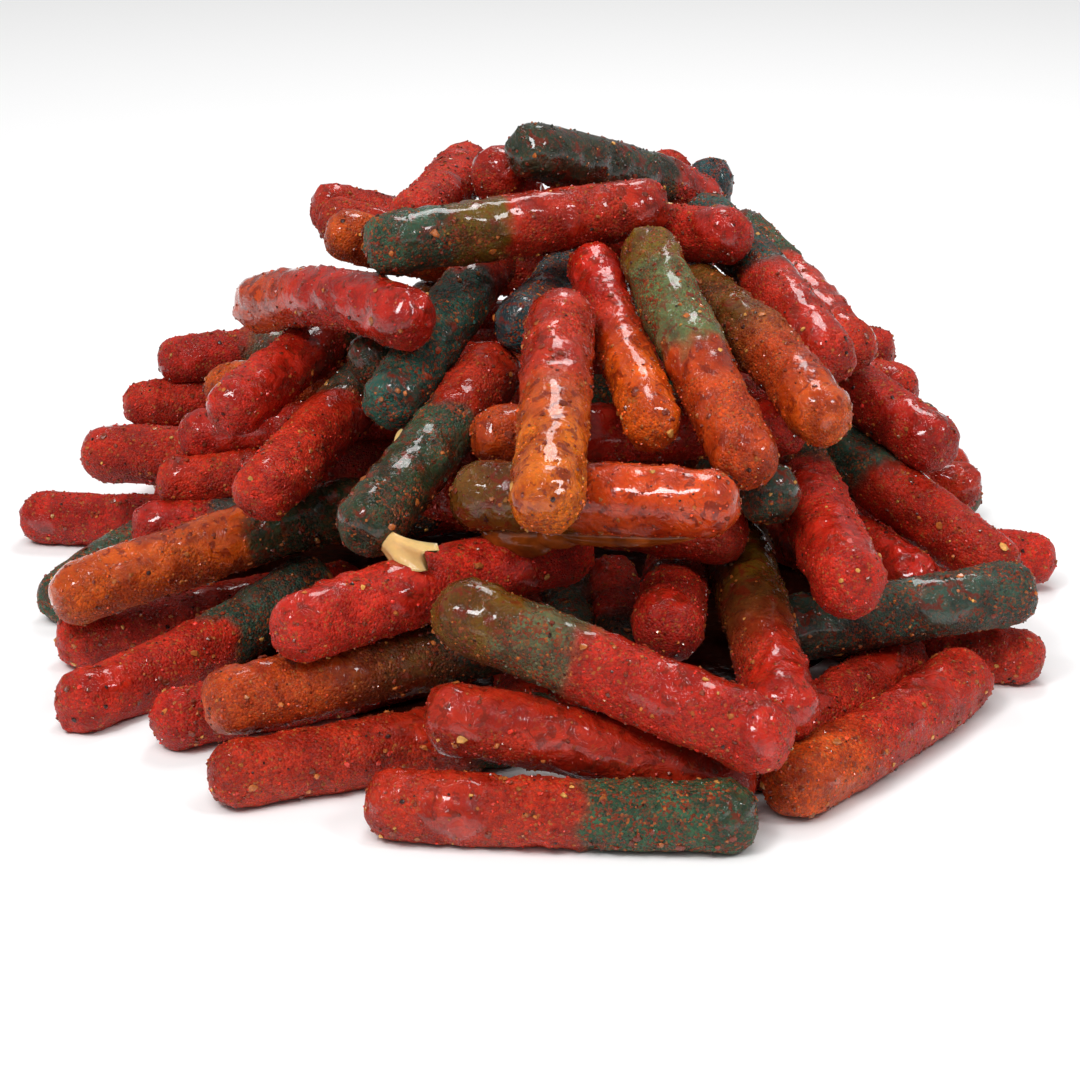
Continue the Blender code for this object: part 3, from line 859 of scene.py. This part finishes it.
def make_drop(name, centre, along, long, wide, deep, seed, material, body, slot):
    """A lumpy drop of set syrup, drawn out along one direction and deepest below."""
    turn = np.linspace(0, 2 * math.pi, 24, endpoint=False)
    side = unit(np.cross(along, (0.0, 0.0, 1.0)))
    rings = []
    for angle in np.linspace(-math.pi / 2, math.pi / 2, 17)[1:-1]:
        girth = math.cos(angle)
        sideways = np.cos(turn) * wide * girth
        droop = np.sin(turn)
        droop = np.where(droop < 0, droop * deep, droop * wide * 0.6) * girth
        middle = centre + along * long * math.sin(angle)
        rings.append(middle + side * sideways[:, None] + np.array((0, 0, 1.0)) * droop[:, None])
    corners = np.array(rings)
    bulge = waves(corners.reshape(-1, 3), 3.2 * MM, seed).reshape(corners.shape[:2]) * 0.25 * MM
    outward = corners - corners.mean(axis=1, keepdims=True)
    outward /= np.maximum(np.linalg.norm(outward, axis=2, keepdims=True), 1e-9)
    return closed_grid(name, corners + outward * bulge[:, :, None], material, body)


def make_flare(root, out, side, material):
    """A thin lip of set syrup that spread off the end of a worm, with a wavy torn edge."""
    up = unit(np.cross(side, out))
    rows, half = 12, 9
    rings = []
    for row in range(rows):
        share = row / (rows - 1)
        width = (1.6 + 3.0 * share**1.6) * MM
        thick = (0.75 - 0.45 * share) * MM
        ring = []
        for face in (1, -1):
            for step in range(-half, half):
                across = step / half * face
                torn = 1 + 0.13 * math.sin(8 * across + 1) + 0.05 * math.sin(17 * across)
                reach = share * 6.6 * MM * torn
                wave = 0.40 * MM * share * math.sin(6 * across + 0.6)
                lift = thick * face * (1 - across * across) + wave - 0.7 * MM * share * share
                ring.append(root + out * reach + side * across * width + up * lift)
        rings.append(ring)
    return closed_grid("set_syrup_flare", np.array(rings), material, "heap")


# Each drip: its place along the worm from 0 to 1, half its length in mm, and its depth in mm.
DRIPS = ((0.16, 5.6, 4.6), (0.62, 11.0, 1.8), (0.34, 4.0, 2.8))
DRIP_WIDTH = 2.3 * MM


def pour_syrup():
    # The dark syrup material is for the sheet under the heap: painted shadow.
    dark = make_syrup("painted_shadow_syrup", PAINTED_SHADOW, 0.5)
    amber = make_syrup("amber_syrup", SYRUP, 0.45)
    cream = make_syrup("cream_syrup", CREAM, 0.75, roughness=0.12)
    make_painted_shadow(dark)

    green = turned(Line(*single_worm("valley_green")), FROM_BELOW)
    root = green.start + np.array((1.8, -3.8, -1.4)) * MM
    spread = unit(np.array((0.72, -0.54, -0.40)))
    across = unit(np.array((0.52, -0.10, 0.76)))
    make_flare(root, spread, across, cream)

    on_flank = green.spot(0.50) + np.array((-1.0, -0.20, 0.10)) * (green.radius + 0.3 * MM)
    upright = unit(np.array((0.2, 0.2, 1.0)))
    seed_size = (2.1 * MM, 1.2 * MM, 1.0 * MM)
    make_drop("amber_seed", on_flank, upright, *seed_size, 71, cream, "heap", "orange_gummy")

    belt = turned(Line(*single_worm("belt_glazed")), FROM_LEFT)
    for number, (place, long, deep) in enumerate(DRIPS):
        name = f"syrup_drip_{number + 1}"
        under = belt.spot(place) - np.array((0, 0.12, 0.93)) * belt.radius
        size = (long * MM, DRIP_WIDTH, deep * MM)
        make_drop(name, under, belt.way(place), *size, 80 + number, amber, "heap", "orange_gummy")


pour_syrup()

# ---------------------------------------------------------------------------------------------
# Table, light and camera
# ---------------------------------------------------------------------------------------------


TABLE_HALF_WIDTH = 3.0
HEAP_MIDDLE = Vector((0, 0, 0.03))


def make_table():
    material, _, surface = new_material("pale_table")
    surface.inputs["Base Color"].default_value = (0.93, 0.93, 0.93, 1.0)
    surface.inputs["Roughness"].default_value = 0.6
    mesh = bpy.data.meshes.new("table")
    half = TABLE_HALF_WIDTH
    corners = [(-half, -half, 0), (half, -half, 0), (half, half, 0), (-half, half, 0)]
    mesh.from_pydata(corners, [], [(0, 1, 2, 3)])
    mesh.materials.append(material)
    table = bpy.data.objects.new("table", mesh)
    bpy.context.scene.collection.objects.link(table)


def add_softbox(name, place, size, power):
    """A square light that faces the middle of the heap."""
    light = bpy.data.lights.new(name, "AREA")
    light.shape = "SQUARE"
    light.size = size
    light.energy = power
    lamp = bpy.data.objects.new(name, light)
    lamp.location = place
    lamp.rotation_euler = (HEAP_MIDDLE - Vector(place)).to_track_quat("-Z", "Y").to_euler()
    bpy.context.scene.collection.objects.link(lamp)


def light_studio():
    """A pale room, a wide soft light from above that leaves no reflection, and three softboxes."""
    world = bpy.data.worlds.new("studio")
    world.use_nodes = True
    background = world.node_tree.nodes["Background"]
    background.inputs["Color"].default_value = (1.0, 1.0, 1.0, 1.0)
    background.inputs["Strength"].default_value = 0.24
    bpy.context.scene.world = world
    bpy.context.scene.view_settings.view_transform = "Standard"
    add_softbox("softbox_left", (-0.35, -0.45, 0.70), 0.17, 2.5)
    add_softbox("softbox_right", (0.50, -0.30, 0.60), 0.14, 1.3)
    add_softbox("softbox_back", (0.08, 0.40, 0.70), 0.24, 1.6)
    ceiling = bpy.data.lights.new("wide_soft_light", "SUN")
    ceiling.energy = 1.9
    ceiling.angle = math.radians(50)
    lamp = bpy.data.objects.new("wide_soft_light", ceiling)
    lamp.rotation_euler = (math.radians(22), math.radians(-12), 0)
    lamp.visible_glossy = False
    bpy.context.scene.collection.objects.link(lamp)


# The point on the table that the camera is measured from, how far and how high it stands, and how
# far it looks down.
CAMERA_AIM = (0.00259, 0.00154)
CAMERA_REACH = 0.365
CAMERA_HEIGHT_ANGLE = math.radians(22.0)
CAMERA_TILT = math.radians(20.5)
LENS = 75.7
SENSOR = 36.0


def place_camera():
    lens = bpy.data.cameras.new("camera")
    lens.lens = LENS
    lens.sensor_width = SENSOR
    camera = bpy.data.objects.new("camera", lens)
    camera.location = (
        CAMERA_AIM[0],
        CAMERA_AIM[1] - CAMERA_REACH * math.cos(CAMERA_HEIGHT_ANGLE),
        CAMERA_REACH * math.sin(CAMERA_HEIGHT_ANGLE),
    )
    camera.rotation_euler = (math.pi / 2 - CAMERA_TILT, 0.0, 0.0)
    bpy.context.scene.collection.objects.link(camera)
    bpy.context.scene.camera = camera


make_table()
light_studio()
place_camera()
